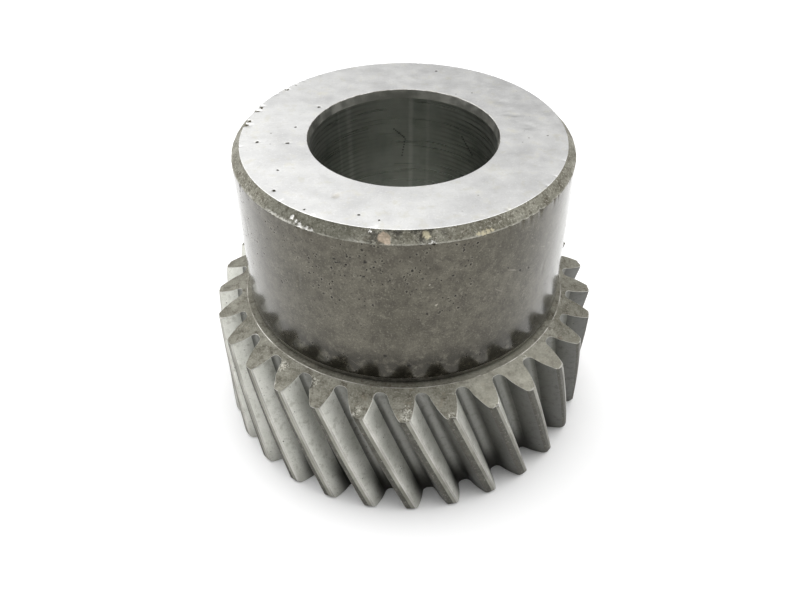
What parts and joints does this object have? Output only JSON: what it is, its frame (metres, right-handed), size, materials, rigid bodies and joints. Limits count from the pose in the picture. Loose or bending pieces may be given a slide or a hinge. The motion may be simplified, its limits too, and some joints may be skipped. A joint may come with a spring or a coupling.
{
  "type": "helical gear",
  "caption": "Steel helical gear: a left-hand toothed ring shrunk on a long ground sleeve with a plain round through bore.",
  "frame": {"origin": "on the bore axis, in the plane of the lower toothed end face", "axes": "+Z along the bore axis, from the teeth towards the plain end of the sleeve"},
  "size_m": [0.0982, 0.0982, 0.078],
  "materials": {
    "tooth_steel": "satin",
    "ground_steel": "ground"
  },
  "bodies": {
    "root": {"gear_ring": "tooth_steel", "hub_sleeve": "ground_steel"}
  },
  "joints": []
}
